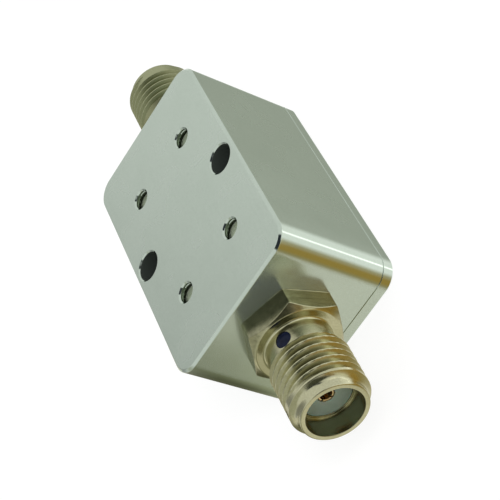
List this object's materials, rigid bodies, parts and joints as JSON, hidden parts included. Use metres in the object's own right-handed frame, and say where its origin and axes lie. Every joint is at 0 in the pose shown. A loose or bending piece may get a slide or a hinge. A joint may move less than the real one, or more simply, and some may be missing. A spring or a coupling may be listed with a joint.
{
  "type": "rf bandpass filter",
  "caption": "Inline coaxial bandpass filter: milled block with rounded corners, a thin cover, tapped and through holes in one face, and a hexagonal threaded jack at each end.",
  "frame": {"origin": "centre of the cover's outer face, which the filter rests on", "axes": "+X along the jacks' common axis towards port 1, +Y towards a long side, +Z out of the face with the tapped holes"},
  "size_m": [0.0438, 0.0146, 0.0113],
  "materials": {
    "satin_aluminium": "satin milled aluminium, faintly greenish grey, with bright broken edges",
    "jack_nickel": "nickel-plated brass, slightly yellowish, semi-bright turned surface",
    "screw_steel": "plain steel screws",
    "board_laminate": "glass laminate board with a solder mask",
    "coil_copper": "enamelled copper wire",
    "chip_ceramic": "ceramic chip with tinned caps",
    "insulator_white": "white waxy insulator",
    "contact_gilt": "gold-plated contact",
    "epoxy_dark": "dark blue-black epoxy",
    "solder_tin": "bright solder"
  },
  "bodies": {
    "root": {"housing": "satin_aluminium", "cover": "satin_aluminium", "cover_screw_1": "screw_steel", "cover_screw_2": "screw_steel", "cover_screw_3": "screw_steel", "cover_screw_4": "screw_steel", "circuit_board": "board_laminate", "board_screw_1": "screw_steel", "board_screw_2": "screw_steel", "board_screw_3": "screw_steel", "board_screw_4": "screw_steel", "port_1_body": "jack_nickel", "port_1_insulator": "insulator_white", "port_1_contact": "contact_gilt", "port_1_epoxy": "epoxy_dark", "port_1_solder": "solder_tin", "port_2_body": "jack_nickel", "port_2_insulator": "insulator_white", "port_2_contact": "contact_gilt", "port_2_epoxy": "epoxy_dark", "port_2_solder": "solder_tin", "series_coil_1": "coil_copper", "series_coil_2": "coil_copper", "shunt_coil": "coil_copper", "series_capacitor_1": "chip_ceramic", "series_capacitor_2": "chip_ceramic", "shunt_capacitor_1": "chip_ceramic", "shunt_capacitor_2": "chip_ceramic"}
  },
  "joints": []
}
